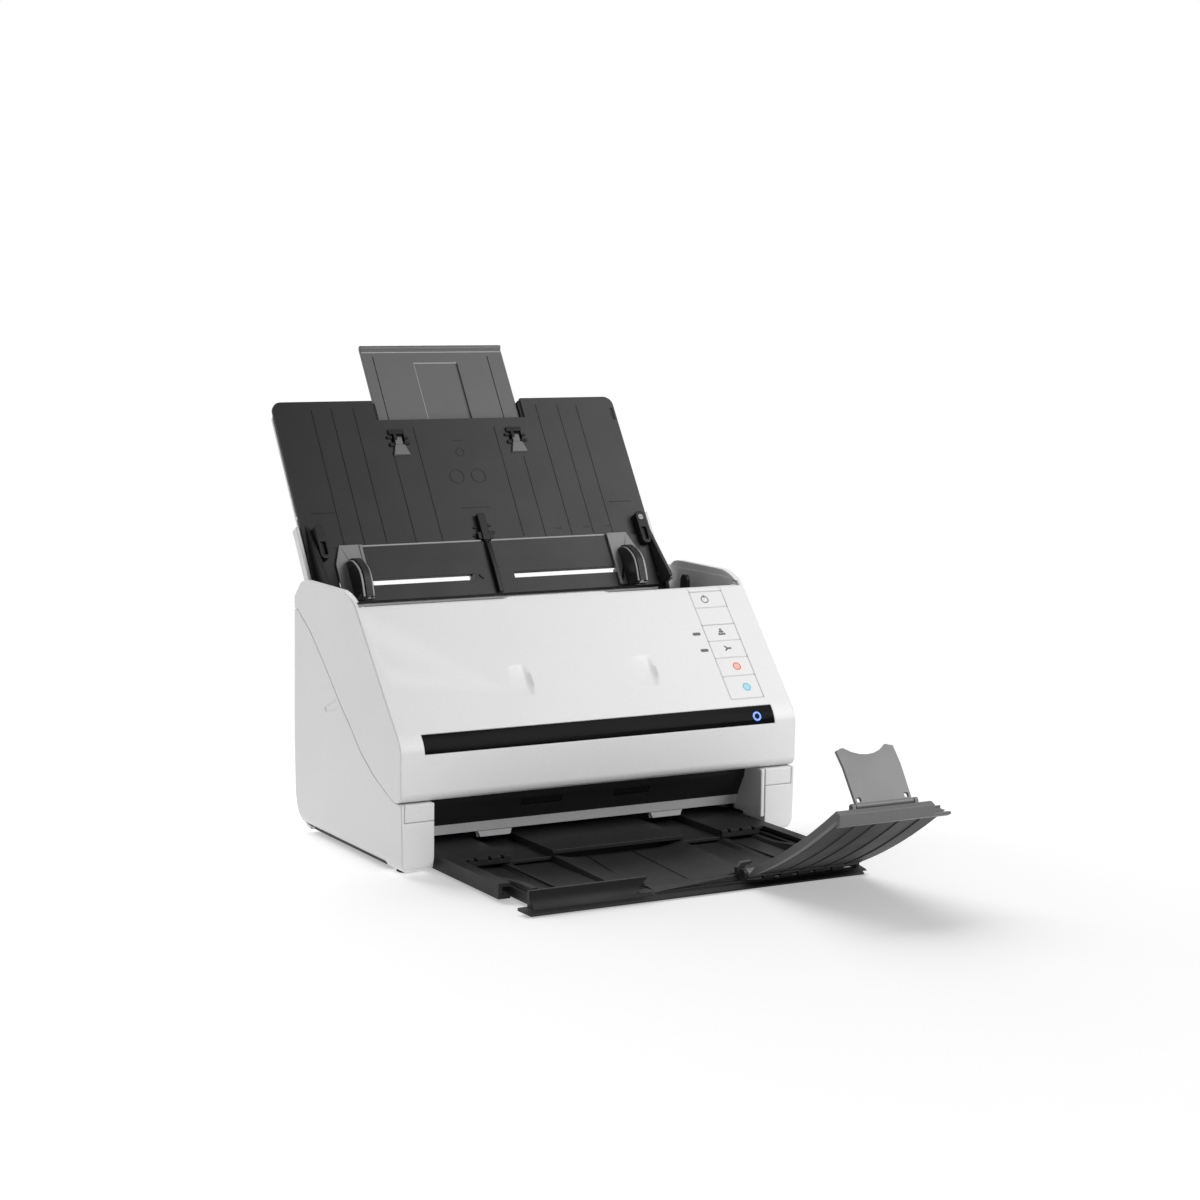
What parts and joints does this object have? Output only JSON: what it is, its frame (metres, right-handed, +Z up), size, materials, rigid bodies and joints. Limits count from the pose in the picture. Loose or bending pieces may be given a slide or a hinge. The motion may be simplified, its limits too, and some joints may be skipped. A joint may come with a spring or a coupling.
{
  "type": "sheet fed document scanner",
  "caption": "Desktop sheet-fed scanner: tilting front cover, open input tray with sliding guides and extension, two-stage output tray with raised stopper flap.",
  "frame": {"origin": "on the table, under the centre of the whole footprint with both trays drawn out", "axes": "+X to the right seen from the front, +Y from the user towards the back, +Z up"},
  "size_m": [0.296, 0.4818, 0.324],
  "materials": {
    "white_case": "fine matte moulded plastic, white",
    "light_grey": "matte moulded plastic, light grey",
    "charcoal": "fine-grained moulded plastic, dark grey",
    "mid_grey": "fine-grained moulded plastic, mid grey",
    "black": "matte black moulded plastic",
    "gloss_black": "piano-black polished plastic",
    "rubber": "matte black rubber",
    "roller_rubber": "matte grey roller rubber",
    "steel": "plain zinc-plated sheet steel",
    "nylon": "natural nylon",
    "board": "green solder resist",
    "glass": "clear float glass",
    "blue_light": "translucent blue lens"
  },
  "bodies": {
    "base": {"bottom_pan": "black", "left_side_cover": "white_case", "right_side_cover": "white_case", "left_hinge_cap": "white_case", "right_hinge_cap": "white_case", "left_frame": "steel", "right_frame": "steel", "left_tray_bracket": "black", "right_tray_bracket": "black", "left_tray_hinge_pin": "steel", "right_tray_hinge_pin": "steel", "rear_cover": "white_case", "front_left_foot": "rubber", "front_right_foot": "rubber", "rear_left_foot": "rubber", "rear_right_foot": "rubber", "exit_guide": "black", "exit_lip": "light_grey", "lower_paper_guide": "black", "rear_glass": "glass", "rear_image_sensor": "black", "feed_motor": "steel", "drive_belt": "rubber", "main_board": "board", "power_jack": "black", "usb_port": "steel"},
    "eject_drive": {"eject_roller": "roller_rubber", "reduction_gear": "nylon"},
    "motor_shaft": {"motor_pinion": "nylon"},
    "feed_drive": {"feed_roller": "roller_rubber"},
    "pickup_drive": {"pickup_roller": "roller_rubber"},
    "exit_idler": {"exit_idler": "roller_rubber"},
    "scanner_cover": {"front_cover": "white_case", "light_bar": "gloss_black", "status_light": "blue_light", "panel_board": "board", "upper_paper_guide": "black", "front_glass": "glass", "front_image_sensor": "black"},
    "separation_roller": {"separation_roller": "roller_rubber"},
    "pinch_roller": {"pinch_roller": "roller_rubber"},
    "power_button": {"power_button": "white_case"},
    "slow_mode_button": {"slow_mode_button": "white_case"},
    "skip_button": {"skip_button": "white_case"},
    "stop_button": {"stop_button": "white_case"},
    "start_button": {"start_button": "white_case"},
    "cover_open_lever": {"cover_open_lever": "light_grey"},
    "input_tray": {"input_tray": "charcoal", "tray_back_cover": "white_case", "centre_rib": "black", "left_support_tab": "light_grey", "right_support_tab": "light_grey"},
    "tray_extension": {"tray_extension": "mid_grey"},
    "left_edge_guide": {"left_edge_guide": "light_grey"},
    "right_edge_guide": {"right_edge_guide": "light_grey"},
    "guide_pinion": {"guide_pinion": "nylon"},
    "output_tray": {"output_tray": "charcoal"},
    "output_tray_extension": {"output_tray_extension": "charcoal"},
    "stopper_flap": {"stopper_flap": "mid_grey"},
    "stop_plate": {"stop_plate": "mid_grey"}
  },
  "joints": [
    {"name": "eject_roller_spin", "type": "hinge", "parent": "base", "child": "eject_drive", "pos_m": [0, 0.02845, 0.03751], "axis": [1, 0, 0], "continuous": true},
    {"name": "motor_spin", "type": "hinge", "parent": "base", "child": "motor_shaft", "pos_m": [0, 0.05947, 0.03204], "axis": [1, 0, 0], "continuous": true},
    {"name": "feed_roller_spin", "type": "hinge", "parent": "base", "child": "feed_drive", "pos_m": [0, 0.07783, 0.08991], "axis": [1, 0, 0], "continuous": true},
    {"name": "pickup_roller_spin", "type": "hinge", "parent": "base", "child": "pickup_drive", "pos_m": [0, 0.09564, 0.10343], "axis": [1, 0, 0], "continuous": true},
    {"name": "exit_idler_spin", "type": "hinge", "parent": "base", "child": "exit_idler", "pos_m": [0, 0.01887, 0.04629], "axis": [1, 0, 0], "continuous": true},
    {"name": "cover_hinge", "type": "hinge", "parent": "base", "child": "scanner_cover", "pos_m": [0, -0.02033, 0.0535], "axis": [1, 0, 0], "range_deg": [0, 50]},
    {"name": "separation_roller_spin", "type": "hinge", "parent": "scanner_cover", "child": "separation_roller", "pos_m": [0, 0.07832, 0.11931], "axis": [1, 0, 0], "continuous": true},
    {"name": "pinch_roller_spin", "type": "hinge", "parent": "scanner_cover", "child": "pinch_roller", "pos_m": [0, 0.06788, 0.09903], "axis": [1, 0, 0], "continuous": true},
    {"name": "power_press", "type": "slide", "parent": "scanner_cover", "child": "power_button", "axis": [0, 0.757, -0.6534], "range_m": [0, 0.0008], "stiffness_N_per_m": 600},
    {"name": "slow_mode_press", "type": "slide", "parent": "scanner_cover", "child": "slow_mode_button", "axis": [0, 0.757, -0.6534], "range_m": [0, 0.0008], "stiffness_N_per_m": 600},
    {"name": "skip_press", "type": "slide", "parent": "scanner_cover", "child": "skip_button", "axis": [0, 0.757, -0.6534], "range_m": [0, 0.0008], "stiffness_N_per_m": 600},
    {"name": "stop_press", "type": "slide", "parent": "scanner_cover", "child": "stop_button", "axis": [0, 0.757, -0.6534], "range_m": [0, 0.0008], "stiffness_N_per_m": 600},
    {"name": "start_press", "type": "slide", "parent": "scanner_cover", "child": "start_button", "axis": [0, 0.757, -0.6534], "range_m": [0, 0.0008], "stiffness_N_per_m": 600},
    {"name": "cover_lever_pull", "type": "hinge", "parent": "scanner_cover", "child": "cover_open_lever", "pos_m": [0.147, 0.07627, 0.1575], "axis": [0, 0, 1], "range_deg": [-15, 0], "stiffness_Nm_per_rad": 0.05},
    {"name": "input_tray_hinge", "type": "hinge", "parent": "base", "child": "input_tray", "pos_m": [0, 0.13067, 0.161], "axis": [1, 0, 0], "range_deg": [0, 112]},
    {"name": "tray_extension_slide", "type": "slide", "parent": "input_tray", "child": "tray_extension", "axis": [0, 0.5432, 0.8396], "range_m": [-0.058, 0]},
    {"name": "left_guide_slide", "type": "slide", "parent": "input_tray", "child": "left_edge_guide", "axis": [1, 0, 0], "range_m": [0, 0.078]},
    {"name": "right_guide_slide", "type": "slide", "parent": "input_tray", "child": "right_edge_guide", "axis": [1, 0, 0], "range_m": [-0.078, 0]},
    {"name": "guide_pinion_spin", "type": "hinge", "parent": "input_tray", "child": "guide_pinion", "pos_m": [0, 0.13393, 0.16604], "axis": [0, 0.8396, -0.5432], "range_deg": [0, 746]},
    {"name": "output_tray_slide", "type": "slide", "parent": "base", "child": "output_tray", "axis": [0, 1, 0], "range_m": [0, 0.05]},
    {"name": "output_extension_slide", "type": "slide", "parent": "output_tray", "child": "output_tray_extension", "axis": [0, 1, 0], "range_m": [0, 0.025]},
    {"name": "stopper_flap_hinge", "type": "hinge", "parent": "output_tray_extension", "child": "stopper_flap", "pos_m": [0.077, -0.14033, 0.008], "axis": [1, 0, 0], "range_deg": [-15, 20]},
    {"name": "stop_plate_hinge", "type": "hinge", "parent": "stopper_flap", "child": "stop_plate", "pos_m": [0.074, -0.23233, 0.0666], "axis": [1, 0, 0], "range_deg": [-88, 0]}
  ],
  "couplings": [
    {"joint": "motor_spin", "follows": "eject_roller_spin", "ratio": -2.5714},
    {"joint": "feed_roller_spin", "follows": "eject_roller_spin", "ratio": 1},
    {"joint": "pickup_roller_spin", "follows": "eject_roller_spin", "ratio": 1},
    {"joint": "exit_idler_spin", "follows": "eject_roller_spin", "ratio": -1.2727},
    {"joint": "pinch_roller_spin", "follows": "eject_roller_spin", "ratio": -1.6},
    {"joint": "right_guide_slide", "follows": "left_guide_slide", "ratio": -1},
    {"joint": "guide_pinion_spin", "follows": "left_guide_slide", "rad_per_m": 166.67}
  ]
}
